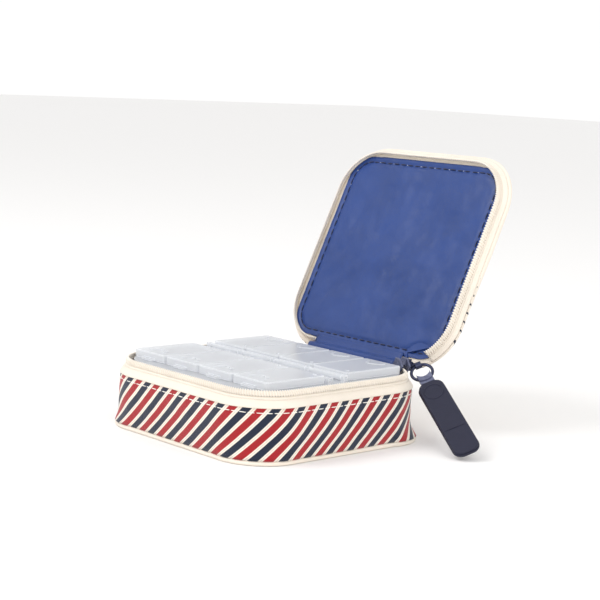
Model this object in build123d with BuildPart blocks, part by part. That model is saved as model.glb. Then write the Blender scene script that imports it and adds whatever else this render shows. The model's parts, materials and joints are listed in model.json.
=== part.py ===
from build123d import *
import os
from math import cos, radians, sin

# Travel pill organizer: a square zip-round fabric case holding a removable
# moulded tray of eight pill cells, each cell closed by its own snap lid.
# Millimetres, +Z up, origin at the centre of the case's underside. The hinge
# side faces +Y and the opening side faces -Y. The case stands open.

# ---- driving dimensions of the case ----
CASE_WIDTH = 108.0          # outside of the striped wall, along X
CASE_DEPTH = 105.0          # outside of the striped wall, along Y
CORNER_RADIUS = 24.0        # outside corner of the striped wall
MATING_HEIGHT = 31.0        # plane where base and lid meet when zipped shut
ZIP_BAND = 7.0              # from the striped wall's top edge to that plane
LID_OPEN_ANGLE = 115.4      # how far the lid stands open from shut, degrees

# ---- fabric, board and trim thicknesses ----
COVER_THICKNESS = 1.3       # striped outer fabric with its foam backing
BOARD_THICKNESS = 1.2       # card stiffener in floor and lid
LINING_THICKNESS = 0.6
BOTTOM_FABRIC = 1.0
PIPING_RADIUS = 1.0
PIPING_STANDOFF = 0.8       # bottom bead centre, in from the outside of the wall
TAPE_THICKNESS = 0.7
FABRIC_GAP = 0.1            # air left between stacked soft layers

# ---- zip ----
COIL_RADIUS = 0.9           # one side of the nylon coil
COIL_INSET = 3.5            # coil centre, in from the outside of the wall
TAPE_LAP = 0.5              # tape edge, out from the coil centre line
COIL_DROP = 1.0             # coil centre, from the mating plane
ZIP_END_SETBACK = 2.0       # zip's ends, in from where the corners start
PARKED_ANGLE = 20.0         # parked slider, round the back right corner, degrees
LID_TAPE_ANGLE = 38.0       # where the lid's tape starts, past that slider, degrees

# ---- lid ----
LID_TAPE_HEIGHT = 5.0       # zip tape and side band, from the mating plane
LINING_RECESS = 3.2         # lining face, from the mating plane
LID_LINING_INSET = 4.4      # lining edge, in from the outside of the wall
FOAM_THICKNESS = 2.1
LID_COVER_THICKNESS = 1.2
COVER_EDGE_RADIUS = 0.9

# ---- tray ----
TRAY_GAP = 2.1              # tray's edge to the coil
TRAY_CORNER_TRIM = 1.0      # how much tighter its corners are than an even gap
FLANGE_THICKNESS = 1.2
FLANGE_DROP = 1.2           # flange's top, from the mating plane
TRAY_WALL = 1.0
TRAY_FLOOR = 1.2
TRAY_LIFT_GAP = 0.6         # from the case lining up to the tray's feet
COLUMNS = 4
SIDE_MARGIN = 2.1           # flange beyond the pill lids, at the sides
FRONT_MARGIN = 6.5          # and at the front and back
SPINE_HALF = 6.3            # half the hinge spine between the two rows
LIP_HEIGHT = 1.3            # raised lip round each cell, under its lid
LIP_CLEARANCE = 0.4

# ---- pill lids ----
PILL_LID_GAP = 0.7          # between neighbouring lids
PILL_LID_HEIGHT = 3.7       # skirt and top together
PILL_LID_PLATE = 1.1
PILL_LID_SKIRT = 1.0
PILL_LID_REST_GAP = 0.2     # skirt foot above the flange
PIVOT_HEIGHT = 1.6          # hinge axis above the flange
PIVOT_SETBACK = 1.9         # hinge axis behind the lid's rear skirt
BARREL_RADIUS = 1.2
PIN_RADIUS = 0.7
PIN_CLEARANCE = 0.07
POST_THICKNESS = 2.0
POST_END_GAP = 0.25
THUMB_LIP_WIDTH = 8.0       # tongue on the front edge of a pill lid
THUMB_LIP_REACH = 1.7
THUMB_LIP_THICKNESS = 1.0
CATCH_RIDGE = 0.3           # height of the thumb crescent and the dot
CRESCENT_RADIUS = 5.0
CRESCENT_WIDTH = 1.3
CRESCENT_SETBACK = 4.0      # crescent's centre, in from the lid's front edge
DOT_RADIUS = 0.7            # raised dot at the hinge end of a pill lid
DOT_INSET = 3.3
CELL_CORNER = 1.4
SMALL_EDGE = 0.5            # eased top edge of a pill lid
OVERLAP = 0.4               # one shape into the next, so that they join

# ---- zip slider and puller ----
SLIDER_LENGTH = 8.0
SLIDER_HEIGHT = 6.8
SLIDER_GAP = 2.8            # between its two plates
SLIDER_PLATE = 0.9
SLIDER_FOOT_DROP = 1.6      # plates reach this far under the coil centre
SLIDER_FLAT = 0.45          # share of a plate's length at its full height
SLIDER_CORNER = 0.9
DIVIDER_WIDTH = 3.2         # post that joins the two plates above the coil
DIVIDER_HEIGHT = 2.4
BRIDGE_FOOT = 0.8
POCKET_ROOM = 2.0           # air round the parked slider in the shut lid
BRIDGE_RADIUS = 0.7
BRIDGE_STANDOFF = 1.9       # bar centre, out from the outer plate
BAIL_HEIGHT = 2.8
BAIL_EYE_RADIUS = 1.6
BAIL_LINK_RADIUS = 1.0
EYE_REACH_X = 3.1           # ring's eye from the bridge bar, along X
EYE_REACH_Y = 2.3           # and along Y
RING_RADIUS = 4.8
RING_WIRE = 0.7
EYE_CLEARANCE = 0.3         # ring wire in the eye of the bail
SLEEVE_CLEARANCE = 0.15     # ring wire in the tab's sleeve
SLEEVE_WALL = 0.4
SLEEVE_WIDTH = 6.4
NECK_LENGTH = 1.4           # strap between the sleeve and the tab
NECK_THICKNESS = 1.6
TAB_LENGTH = 46.0
TAB_WIDTH = 12.2
TAB_THICKNESS = 2.6
TAB_CORNER = 4.2
TAB_EDGE = 0.6
TAB_HEADING = -19.4         # the way that the tab points, from +X towards +Y, degrees
TAB_DIP = 28.7              # its slope below level, degrees
TAB_ROLL = 63.4             # its face, turned up from upright, degrees

# ---- places worked out from those sizes ----
HALF_DEPTH = CASE_DEPTH / 2
HINGE_Y = HALF_DEPTH + FABRIC_GAP
HINGE_Z = MATING_HEIGHT
OPEN = radians(LID_OPEN_ANGLE)
BASE = Plane.XY
LID = Plane(
    origin=(0, HINGE_Y * (1 - cos(OPEN)), HINGE_Z + HINGE_Y * sin(OPEN)),
    x_dir=(1, 0, 0),
    z_dir=(0, sin(OPEN), cos(OPEN)),
)
CASE_FLOOR = 2 * (PIPING_RADIUS + FABRIC_GAP) + LINING_THICKNESS
COIL_Z = MATING_HEIGHT - COIL_DROP
BASE_WALL_TOP = MATING_HEIGHT - ZIP_BAND
COIL_HALF_X = CASE_WIDTH / 2 - COIL_INSET
COIL_HALF_Y = CASE_DEPTH / 2 - COIL_INSET
COIL_CORNER = CORNER_RADIUS - COIL_INSET
CORNER_X = CASE_WIDTH / 2 - CORNER_RADIUS
CORNER_Y = CASE_DEPTH / 2 - CORNER_RADIUS
ZIP_END = CORNER_X - ZIP_END_SETBACK
TAPE_HEAD_INSET = COIL_INSET - TAPE_THICKNESS / 2 - TAPE_LAP
SLIDER_THICK = SLIDER_GAP + 2 * SLIDER_PLATE
SLIDER_LOW = COIL_Z - SLIDER_FOOT_DROP
PARKED = radians(PARKED_ANGLE)
OUTWARD = Vector(sin(PARKED), cos(PARKED), 0)
SLIDER = Plane(
    origin=Vector(CORNER_X, CORNER_Y, SLIDER_LOW + SLIDER_HEIGHT / 2) + OUTWARD * COIL_CORNER,
    x_dir=(cos(PARKED), -sin(PARKED), 0),
    z_dir=OUTWARD,
)
os.makedirs("parts", exist_ok=True)


def finish(name, builder):
    """Label a finished piece, write it out and print its size."""
    builder.part.label = name
    export_step(builder.part, f"parts/{name}.step")
    size = builder.part.bounding_box().size
    print(name, [round(length, 1) for length in (size.X, size.Y, size.Z)])


def outline(inset):
    """The case's rounded outline, moved in from the wall's outside."""
    RectangleRounded(CASE_WIDTH - 2 * inset, CASE_DEPTH - 2 * inset, CORNER_RADIUS - inset)


def slab(name, plane, inset, low, high):
    """A flat layer with the case's outline."""
    with BuildPart() as layer:
        with BuildSketch(plane.offset(low)):
            outline(inset)
        extrude(amount=high - low)
    finish(name, layer)


def coil_path(start_angle):
    """The zip's line: from its right end round three sides to its left end."""
    x, y, r = COIL_HALF_X, COIL_HALF_Y, COIL_CORNER
    with BuildLine() as line:
        if start_angle > 0:
            CenterArc((x - r, y - r), r, 90 - start_angle, start_angle - 90)
        else:
            Line((ZIP_END, y), (x - r, y))
            CenterArc((x - r, y - r), r, 90, -90)
        Line((x, y - r), (x, r - y))
        RadiusArc((x, r - y), (x - r, -y), r)
        Line((x - r, -y), (r - x, -y))
        RadiusArc((r - x, -y), (-x, r - y), r)
        Line((-x, r - y), (-x, y - r))
        RadiusArc((-x, y - r), (r - x, y), r)
        Line((r - x, y), (-ZIP_END, y))
    return line.wire()


def coil(name, plane, height, start_angle):
    """One side of the nylon coil, as the round cord that its turns fill."""
    path = plane.offset(height).from_local_coords(coil_path(start_angle))
    with BuildPart() as cord:
        with BuildSketch(Plane(origin=path @ 0, x_dir=plane.z_dir, z_dir=path % 0)):
            Circle(COIL_RADIUS)
        sweep(path=path)
    finish(name, cord)


def piping(name, plane, inset, height):
    """A round bead sewn into a seam, all the way round."""
    with BuildPart() as bead:
        with BuildSketch(plane.offset(height - PIPING_RADIUS)):
            outline(inset - PIPING_RADIUS)
            RectangleRounded(
                CASE_WIDTH - 2 * (inset + PIPING_RADIUS),
                CASE_DEPTH - 2 * (inset + PIPING_RADIUS),
                CORNER_RADIUS - inset - PIPING_RADIUS,
                mode=Mode.SUBTRACT,
            )
        extrude(amount=2 * PIPING_RADIUS)
        flats = bead.faces().filter_by(plane)
        fillet(flats.edges(), 0.95 * PIPING_RADIUS)
    finish(name, bead)


def leaning_tape(name, plane, low, high, low_inset, high_inset, right_end):
    """Zip tape: a thin band that leans in from the wall to the coil."""
    with BuildPart() as tape:
        for skin, mode in ((0, Mode.ADD), (TAPE_THICKNESS, Mode.SUBTRACT)):
            with BuildSketch(plane.offset(low)):
                outline(low_inset + skin)
            with BuildSketch(plane.offset(high)):
                outline(high_inset + skin)
            loft(mode=mode)
        with BuildSketch(plane.offset(low)):
            with Locations(((right_end - ZIP_END) / 2, HALF_DEPTH)):
                Rectangle(right_end + ZIP_END, 2 * CORNER_RADIUS)
        extrude(amount=high - low, mode=Mode.SUBTRACT)
    finish(name, tape)


def hinge_flap(name, plane, low, high, inset, thickness):
    """Fabric across the hinge side, on one side of the fold."""
    width = 2 * (ZIP_END - FABRIC_GAP)
    with BuildPart() as flap:
        with BuildSketch(plane.offset(low)):
            with Locations((0, HALF_DEPTH - inset - thickness / 2)):
                Rectangle(width, thickness)
        extrude(amount=high - low)
    finish(name, flap)


# ---- case base ----
def make_base():
    panel_inset = PIPING_STANDOFF + PIPING_RADIUS + FABRIC_GAP
    slab("bottom_panel", BASE, panel_inset, 0, BOTTOM_FABRIC)
    slab(
        "bottom_board",
        BASE,
        panel_inset,
        BOTTOM_FABRIC,
        BOTTOM_FABRIC + BOARD_THICKNESS,
    )
    wall_foot = 2 * (PIPING_RADIUS + FABRIC_GAP)
    with BuildPart() as wall:
        with BuildSketch(BASE.offset(wall_foot)):
            outline(0)
            RectangleRounded(
                CASE_WIDTH - 2 * COVER_THICKNESS,
                CASE_DEPTH - 2 * COVER_THICKNESS,
                CORNER_RADIUS - COVER_THICKNESS,
                mode=Mode.SUBTRACT,
            )
        extrude(amount=BASE_WALL_TOP - wall_foot)
    finish("base_wall", wall)
    piping("base_piping", BASE, PIPING_STANDOFF, PIPING_RADIUS + FABRIC_GAP)

    lining_out = COVER_THICKNESS + FABRIC_GAP
    with BuildPart() as lining:
        with BuildSketch(BASE.offset(wall_foot)):
            outline(lining_out)
        extrude(amount=BASE_WALL_TOP - wall_foot)
        with BuildSketch(BASE.offset(CASE_FLOOR)):
            outline(lining_out + LINING_THICKNESS)
        extrude(amount=BASE_WALL_TOP, mode=Mode.SUBTRACT)
    finish("base_lining", lining)

    leaning_tape(
        "base_zip_tape",
        BASE,
        BASE_WALL_TOP,
        COIL_Z - COIL_RADIUS,
        0,
        TAPE_HEAD_INSET,
        ZIP_END,
    )
    coil("base_zip_coil", BASE, COIL_Z, 0)
    top = MATING_HEIGHT - FABRIC_GAP
    hinge_flap("base_hinge_flap", BASE, BASE_WALL_TOP, top, 0, COVER_THICKNESS / 2)
    hinge_flap(
        "base_hinge_lining",
        BASE,
        BASE_WALL_TOP,
        top,
        COVER_THICKNESS / 2 + FABRIC_GAP,
        LINING_THICKNESS,
    )


# ---- case lid, drawn shut on its own plane ----
def make_lid():
    stack = LINING_RECESS
    for name, thickness, inset in (
        ("lid_lining", LINING_THICKNESS, LID_LINING_INSET),
        ("lid_board", BOARD_THICKNESS, LID_LINING_INSET + FABRIC_GAP),
    ):
        with BuildPart() as layer:
            with BuildSketch(LID.offset(stack)):
                outline(inset)
            extrude(amount=thickness)
            pocket = Location((CORNER_X, CORNER_Y, 0), (0, 0, -PARKED_ANGLE))
            pocket_depth = SLIDER_THICK + 2 * POCKET_ROOM
            with BuildSketch(LID.offset(stack)):
                with Locations(pocket):
                    with Locations((0, COIL_CORNER)):
                        Rectangle(SLIDER_LENGTH + 2 * POCKET_ROOM, pocket_depth)
            extrude(amount=thickness, mode=Mode.SUBTRACT)
        finish(name, layer)
        stack += thickness
    foam_low = LID_TAPE_HEIGHT + FABRIC_GAP
    slab("lid_foam", LID, 2 * PIPING_RADIUS + FABRIC_GAP, foam_low, foam_low + FOAM_THICKNESS)
    cover_low = foam_low + FOAM_THICKNESS
    with BuildPart() as cover:
        with BuildSketch(LID.offset(cover_low)):
            outline(FABRIC_GAP)
        extrude(amount=LID_COVER_THICKNESS)
        rim = cover.faces().sort_by(Axis((0, 0, 0), tuple(LID.z_dir)))[-1].edges()
        fillet(rim, COVER_EDGE_RADIUS)
    finish("lid_cover", cover)
    piping("lid_piping", LID, PIPING_RADIUS, foam_low + PIPING_RADIUS)
    leaning_tape(
        "lid_zip_tape",
        LID,
        COIL_DROP + COIL_RADIUS,
        LID_TAPE_HEIGHT,
        TAPE_HEAD_INSET,
        FABRIC_GAP,
        CORNER_X + COIL_CORNER * sin(radians(LID_TAPE_ANGLE)),
    )
    coil("lid_zip_coil", LID, COIL_DROP, LID_TAPE_ANGLE)
    hinge_flap("lid_hinge_flap", LID, FABRIC_GAP, LID_TAPE_HEIGHT, 0, COVER_THICKNESS / 2)
    hinge_flap(
        "lid_hinge_lining",
        LID,
        FABRIC_GAP,
        LID_TAPE_HEIGHT,
        COVER_THICKNESS / 2 + FABRIC_GAP,
        LINING_THICKNESS,
    )


# ---- tray and its eight pill lids ----
TRAY_INSET = COIL_INSET + COIL_RADIUS + TRAY_GAP
TRAY_HALF_WIDTH = CASE_WIDTH / 2 - TRAY_INSET
TRAY_HALF_DEPTH = CASE_DEPTH / 2 - TRAY_INSET
TRAY_CORNER_RADIUS = CORNER_RADIUS - TRAY_INSET - TRAY_CORNER_TRIM
FLANGE_TOP = MATING_HEIGHT - FLANGE_DROP
CELL_PITCH = 2 * (TRAY_HALF_WIDTH - SIDE_MARGIN) / COLUMNS
LID_REACH = TRAY_HALF_DEPTH - SPINE_HALF - FRONT_MARGIN
LID_WIDTH = CELL_PITCH - PILL_LID_GAP
COLUMN_CENTRES = [(i - (COLUMNS - 1) / 2) * CELL_PITCH for i in range(COLUMNS)]
POST_PLACES = [(i - COLUMNS / 2) * CELL_PITCH for i in range(COLUMNS + 1)]
TRAY_FOOT = CASE_FLOOR + TRAY_LIFT_GAP
PIVOT_Y = SPINE_HALF - PIVOT_SETBACK
PIVOT_Z = FLANGE_TOP + PIVOT_HEIGHT
LIP_INSET = PILL_LID_SKIRT + LIP_CLEARANCE
LIP_WIDTH = LID_WIDTH - 2 * LIP_INSET
LIP_LENGTH = LID_REACH - 2 * LIP_INSET
CELL_CENTRE_Y = SPINE_HALF + LID_REACH / 2
CELL_MOUTH_X = LIP_WIDTH - 2 * TRAY_WALL
CELL_MOUTH_Y = LIP_LENGTH - 2 * TRAY_WALL


def make_tray():
    cells = [(x, side * CELL_CENTRE_Y) for x in COLUMN_CENTRES for side in (-1, 1)]
    with BuildPart() as tray:
        with BuildSketch(BASE.offset(FLANGE_TOP - FLANGE_THICKNESS)):
            RectangleRounded(2 * TRAY_HALF_WIDTH, 2 * TRAY_HALF_DEPTH, TRAY_CORNER_RADIUS)
        extrude(amount=FLANGE_THICKNESS)
        with BuildSketch(BASE.offset(TRAY_FOOT)):
            with Locations(*cells):
                RectangleRounded(LIP_WIDTH, LIP_LENGTH, CELL_CORNER)
        extrude(amount=FLANGE_TOP + LIP_HEIGHT - TRAY_FOOT)
        with BuildSketch(BASE.offset(TRAY_FOOT + TRAY_FLOOR)):
            with Locations(*cells):
                RectangleRounded(CELL_MOUTH_X, CELL_MOUTH_Y, CELL_CORNER)
        extrude(amount=FLANGE_TOP, mode=Mode.SUBTRACT)
        with BuildSketch(BASE.offset(FLANGE_TOP)):
            with Locations(*[(x, side * PIVOT_Y) for x in POST_PLACES for side in (-1, 1)]):
                Rectangle(POST_THICKNESS, 2 * BARREL_RADIUS)
        extrude(amount=PIVOT_HEIGHT + BARREL_RADIUS)
        with BuildSketch(Plane.YZ.offset(-TRAY_HALF_WIDTH)):
            with Locations((-PIVOT_Y, PIVOT_Z), (PIVOT_Y, PIVOT_Z)):
                Circle(PIN_RADIUS + PIN_CLEARANCE)
        extrude(amount=2 * TRAY_HALF_WIDTH, mode=Mode.SUBTRACT)
    finish("tray", tray)


def make_pill_lid(name, x, side):
    """One snap lid: a shallow cap with a hinge barrel behind it."""
    low = FLANGE_TOP + PILL_LID_REST_GAP
    top = FLANGE_TOP + PILL_LID_HEIGHT
    y = side * CELL_CENTRE_Y
    barrel = CELL_PITCH - POST_THICKNESS - 2 * POST_END_GAP
    with BuildPart() as cap:
        with BuildSketch(BASE.offset(low)):
            with Locations((x, y)):
                RectangleRounded(LID_WIDTH, LID_REACH, CELL_CORNER)
        extrude(amount=top - low)
        fillet(cap.faces().sort_by(Axis.Z)[-1].edges(), SMALL_EDGE)
        with BuildSketch(Plane.YZ.offset(x - barrel / 2)):
            with Locations((side * PIVOT_Y, PIVOT_Z)):
                Circle(BARREL_RADIUS)
            with Locations((side * (PIVOT_Y + SPINE_HALF) / 2, PIVOT_Z)):
                Rectangle(PIVOT_SETBACK + OVERLAP, PILL_LID_PLATE)
        extrude(amount=barrel)
        reach = POST_THICKNESS / 2 - FABRIC_GAP + POST_END_GAP
        with BuildSketch(Plane.YZ.offset(x - barrel / 2 - reach)):
            with Locations((side * PIVOT_Y, PIVOT_Z)):
                Circle(PIN_RADIUS)
        extrude(amount=barrel + 2 * reach)
        front_y = side * (SPINE_HALF + LID_REACH)
        with BuildSketch(BASE.offset(low)):
            with Locations((x, front_y)):
                RectangleRounded(THUMB_LIP_WIDTH, 2 * THUMB_LIP_REACH, THUMB_LIP_REACH / 2)
        extrude(amount=THUMB_LIP_THICKNESS)
        with BuildSketch(BASE.offset(low)):
            with Locations((x, y)):
                Rectangle(LID_WIDTH - 2 * PILL_LID_SKIRT, LID_REACH - 2 * PILL_LID_SKIRT)
        extrude(amount=top - low - PILL_LID_PLATE, mode=Mode.SUBTRACT)
        catch_y = front_y - side * CRESCENT_SETBACK
        with BuildSketch(BASE.offset(top - FABRIC_GAP)):
            with Locations((x, catch_y)):
                Circle(CRESCENT_RADIUS)
            with Locations((x, catch_y + side * CRESCENT_WIDTH)):
                Circle(CRESCENT_RADIUS, mode=Mode.SUBTRACT)
            with Locations((x, catch_y + side * CRESCENT_RADIUS)):
                Rectangle(3 * CRESCENT_RADIUS, 2 * CRESCENT_RADIUS, mode=Mode.SUBTRACT)
            with Locations((x + LID_WIDTH / 2 - DOT_INSET, side * (SPINE_HALF + DOT_INSET))):
                Circle(DOT_RADIUS)
        extrude(amount=CATCH_RIDGE + FABRIC_GAP)
    finish(name, cap)


# ---- zip slider and puller ----
OUTER_FACE = SLIDER_THICK / 2
PLATE_END, PLATE_TOP = SLIDER_LENGTH / 2, SLIDER_HEIGHT / 2
PLATE_FLAT = SLIDER_FLAT * PLATE_END
SLIDER_OUTLINE = (
    (-PLATE_END, 0), (-PLATE_FLAT, -PLATE_TOP), (PLATE_FLAT, -PLATE_TOP),
    (PLATE_END, 0), (PLATE_FLAT, PLATE_TOP), (-PLATE_FLAT, PLATE_TOP),
)
UP_ON_SLIDER = -1           # the plates' sketch has its Y axis pointing down
BRIDGE = Plane(
    origin=SLIDER.origin + OUTWARD * (OUTER_FACE + BRIDGE_STANDOFF),
    x_dir=SLIDER.x_dir,
    z_dir=(0, 0, 1),
)
HEADING = radians(TAB_HEADING)
DIP = radians(TAB_DIP)
PULL_OUT = Vector(cos(HEADING) * cos(DIP), sin(HEADING) * cos(DIP), -sin(DIP))
UPRIGHT = Vector(sin(HEADING), -cos(HEADING), 0)
EYE = BRIDGE.origin + Vector(EYE_REACH_X, EYE_REACH_Y, 0)
ROLL = radians(TAB_ROLL)
PULLER = Plane(
    origin=EYE + PULL_OUT * RING_RADIUS,
    x_dir=PULL_OUT,
    z_dir=UPRIGHT * cos(ROLL) + UPRIGHT.cross(PULL_OUT) * sin(ROLL),
)
RING_AXIS = Axis(PULLER.origin, PULLER.z_dir)


def make_slider():
    with BuildPart() as slider:
        for face in (-OUTER_FACE, SLIDER_GAP / 2):
            with BuildSketch(SLIDER.offset(face)):
                Polygon(*SLIDER_OUTLINE, align=None)
                fillet(vertices(), SLIDER_CORNER)
            extrude(amount=SLIDER_PLATE)
        divider_up = COIL_Z + COIL_RADIUS + OVERLAP + DIVIDER_HEIGHT / 2 - SLIDER.origin.Z
        with BuildSketch(SLIDER.offset(-SLIDER_GAP / 2 - FABRIC_GAP)):
            with Locations((0, UP_ON_SLIDER * divider_up)):
                Rectangle(DIVIDER_WIDTH, DIVIDER_HEIGHT)
        extrude(amount=SLIDER_GAP + 2 * FABRIC_GAP)
    finish("zip_slider", slider)

    foot = BRIDGE_FOOT
    bar_half = SLIDER_HEIGHT / 2 - foot
    foot_length = BRIDGE_STANDOFF + BRIDGE_RADIUS
    with BuildPart() as bridge:
        for z in (-bar_half, bar_half - foot):
            with BuildSketch(BRIDGE.offset(z)):
                with Locations((0, BRIDGE_RADIUS - foot_length / 2)):
                    Rectangle(2 * BRIDGE_RADIUS, foot_length)
            extrude(amount=foot)
        with BuildSketch(BRIDGE.offset(-bar_half)):
            Circle(BRIDGE_RADIUS)
        extrude(amount=2 * bar_half)
    finish("slider_bridge", bridge)


def make_bail():
    """A short link: one eye on the bridge bar, one eye for the ring."""
    ring_eye = Plane(origin=EYE, x_dir=PULL_OUT, z_dir=PULLER.y_dir)
    link = EYE - BRIDGE.origin
    with BuildPart() as bail:
        with BuildSketch(BRIDGE.offset(-BAIL_HEIGHT / 2)):
            Circle(BAIL_EYE_RADIUS)
        extrude(amount=BAIL_HEIGHT)
        with BuildSketch(ring_eye.offset(-BAIL_HEIGHT / 2)):
            Circle(BAIL_EYE_RADIUS)
        extrude(amount=BAIL_HEIGHT)
        with BuildSketch(Plane(origin=BRIDGE.origin, z_dir=link)):
            Circle(BAIL_LINK_RADIUS)
        extrude(amount=link.length)
        with BuildSketch(BRIDGE.offset(-BAIL_HEIGHT)):
            Circle(BRIDGE_RADIUS + PIN_CLEARANCE)
        extrude(amount=2 * BAIL_HEIGHT, mode=Mode.SUBTRACT)
        with BuildSketch(ring_eye.offset(-BAIL_HEIGHT)):
            Circle(RING_WIRE + EYE_CLEARANCE)
        extrude(amount=2 * BAIL_HEIGHT, mode=Mode.SUBTRACT)
    finish("puller_bail", bail)


def make_pull_ring():
    with BuildPart() as ring:
        with BuildSketch(Plane(origin=EYE, x_dir=PULL_OUT, z_dir=PULLER.y_dir)):
            Circle(RING_WIRE)
        revolve(axis=RING_AXIS)
    finish("pull_ring", ring)


def make_pull_tab():
    bore = RING_WIRE + SLEEVE_CLEARANCE
    sleeve = bore + SLEEVE_WALL
    sleeve_end = RING_RADIUS + sleeve
    tab_start = sleeve_end + NECK_LENGTH
    with BuildPart() as eyelet:
        with BuildSketch(PULLER.offset(-sleeve)):
            Circle(sleeve_end)
            Circle(RING_RADIUS - sleeve, mode=Mode.SUBTRACT)
            with Locations((sleeve_end / 2 + RING_RADIUS / 4, 0)):
                Rectangle(sleeve_end, SLEEVE_WIDTH, mode=Mode.INTERSECT)
        extrude(amount=2 * sleeve)
        with BuildSketch(PULLER.offset(-NECK_THICKNESS / 2)):
            with Locations(((RING_RADIUS + tab_start) / 2, 0)):
                Rectangle(tab_start - RING_RADIUS, SLEEVE_WIDTH)
        extrude(amount=NECK_THICKNESS)
        with BuildSketch(Plane(origin=EYE, x_dir=PULL_OUT, z_dir=PULLER.y_dir)):
            Circle(bore)
        revolve(axis=RING_AXIS, mode=Mode.SUBTRACT)
    finish("tab_eyelet", eyelet)
    with BuildPart() as tab:
        with BuildSketch(PULLER.offset(-TAB_THICKNESS / 2)):
            with Locations((tab_start + TAB_LENGTH / 2, 0)):
                RectangleRounded(TAB_LENGTH, TAB_WIDTH, TAB_CORNER)
        extrude(amount=TAB_THICKNESS)
        flats = tab.faces().filter_by(PULLER)
        fillet(flats.edges(), TAB_EDGE)
    finish("pull_tab", tab)


make_base()
make_lid()
make_tray()
for row, side in (("front", -1), ("back", 1)):
    for number, centre in enumerate(COLUMN_CENTRES, start=1):
        make_pill_lid(f"pill_lid_{row}_{number}", centre, side)
make_slider()
make_bail()
make_pull_ring()
make_pull_tab()
print("slider turns about", CORNER_X, CORNER_Y)
print("hinge line", HINGE_Y, HINGE_Z, "pivots", PIVOT_Y, PIVOT_Z)
for name, place in (("bridge", BRIDGE.origin), ("eye", EYE), ("ring", PULLER.origin)):
    print(name, [round(value, 3) for value in place])
print("puller axes", PULLER.x_dir, PULLER.y_dir, PULLER.z_dir)
print("case floor", CASE_FLOOR, "tray foot", TRAY_FOOT)
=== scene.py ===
# %% [markdown]
# # A travel pill organizer, standing open
#
# A square fabric case zips round three sides. Its lid folds back on a strip
# of fabric, and a frosted tray with eight snap-lidded cells sits in the base.
# The hard parts come from the CAD model and only need a finish. The cloth,
# the zip and the padding are made here, in metres, where the CAD says.

# %% Load the frame
import json
import math

import bmesh
import bpy
from mathutils import Matrix, Quaternion, Vector, noise


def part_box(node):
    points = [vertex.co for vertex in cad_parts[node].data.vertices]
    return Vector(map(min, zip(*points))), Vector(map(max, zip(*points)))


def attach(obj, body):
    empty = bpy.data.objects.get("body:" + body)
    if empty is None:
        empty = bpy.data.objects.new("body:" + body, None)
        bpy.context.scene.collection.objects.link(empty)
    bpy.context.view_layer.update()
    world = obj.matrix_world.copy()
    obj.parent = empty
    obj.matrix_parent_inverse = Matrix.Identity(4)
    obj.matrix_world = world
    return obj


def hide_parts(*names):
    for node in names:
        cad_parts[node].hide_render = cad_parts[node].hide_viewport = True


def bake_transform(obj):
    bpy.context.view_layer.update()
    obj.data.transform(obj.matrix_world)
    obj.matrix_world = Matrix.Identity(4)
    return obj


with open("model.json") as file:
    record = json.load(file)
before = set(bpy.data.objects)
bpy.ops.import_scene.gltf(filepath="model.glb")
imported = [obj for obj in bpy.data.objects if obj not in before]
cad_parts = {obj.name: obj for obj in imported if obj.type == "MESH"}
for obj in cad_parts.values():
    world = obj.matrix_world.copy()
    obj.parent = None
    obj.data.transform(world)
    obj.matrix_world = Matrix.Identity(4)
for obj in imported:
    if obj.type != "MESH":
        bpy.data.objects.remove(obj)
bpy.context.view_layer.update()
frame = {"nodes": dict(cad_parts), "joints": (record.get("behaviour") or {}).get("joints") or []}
MM = 0.001
UP = Vector((0, 0, 1))

# %% [markdown]
# Most sizes below are read from the CAD pieces, so the cloth fits the boards
# and the zip it covers. Two can't be read from a box and are repeated here:
# the radius of the corners, and how far the zip's ends stay from the middle
# of the hinge side. The lid's pieces are drawn shut and then turned open.

# %% Sizes read from the frame
wall_low, wall_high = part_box("base_wall")
HALF_X, HALF_Y = wall_high[0], wall_high[1]
CORNER = 24 * MM
WALL_FOOT, WALL_TOP = wall_low[2], wall_high[2]
joints = {joint["name"]: joint for joint in frame["joints"]}
hinge = joints["lid_hinge"]
HINGE = Vector(hinge["pos_m"])
LID_OPEN = math.radians(-hinge["range_deg"][0])
MATING = HINGE.z
coil_low, coil_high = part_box("base_zip_coil")
COIL_RADIUS = (coil_high[2] - coil_low[2]) / 2
COIL_INSET = HALF_X - coil_high[0] + COIL_RADIUS
COIL_Z = coil_high[2] - COIL_RADIUS
ZIP_END = 28 * MM
open_lid = (
    Matrix.Translation(HINGE)
    @ Matrix.Rotation(-LID_OPEN, 4, "X")
    @ Matrix.Translation(-HINGE)
)
print("case", HALF_X, HALF_Y, "open by", math.degrees(LID_OPEN), "coil", COIL_INSET, COIL_Z)

# %% [markdown]
# The case's outline is a rounded square. Everything sewn to it runs along
# that one line, so a single function walks it: give it a distance from the
# middle of the hinge side, and it gives the point and the outward direction.
# Moving a point in along that direction gives the outline of an inner layer.

# %% Walk the outline
FLAT_X, FLAT_Y = HALF_X - CORNER, HALF_Y - CORNER
QUARTER = CORNER * math.pi / 2
AROUND = 4 * (FLAT_X + FLAT_Y + QUARTER)


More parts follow.
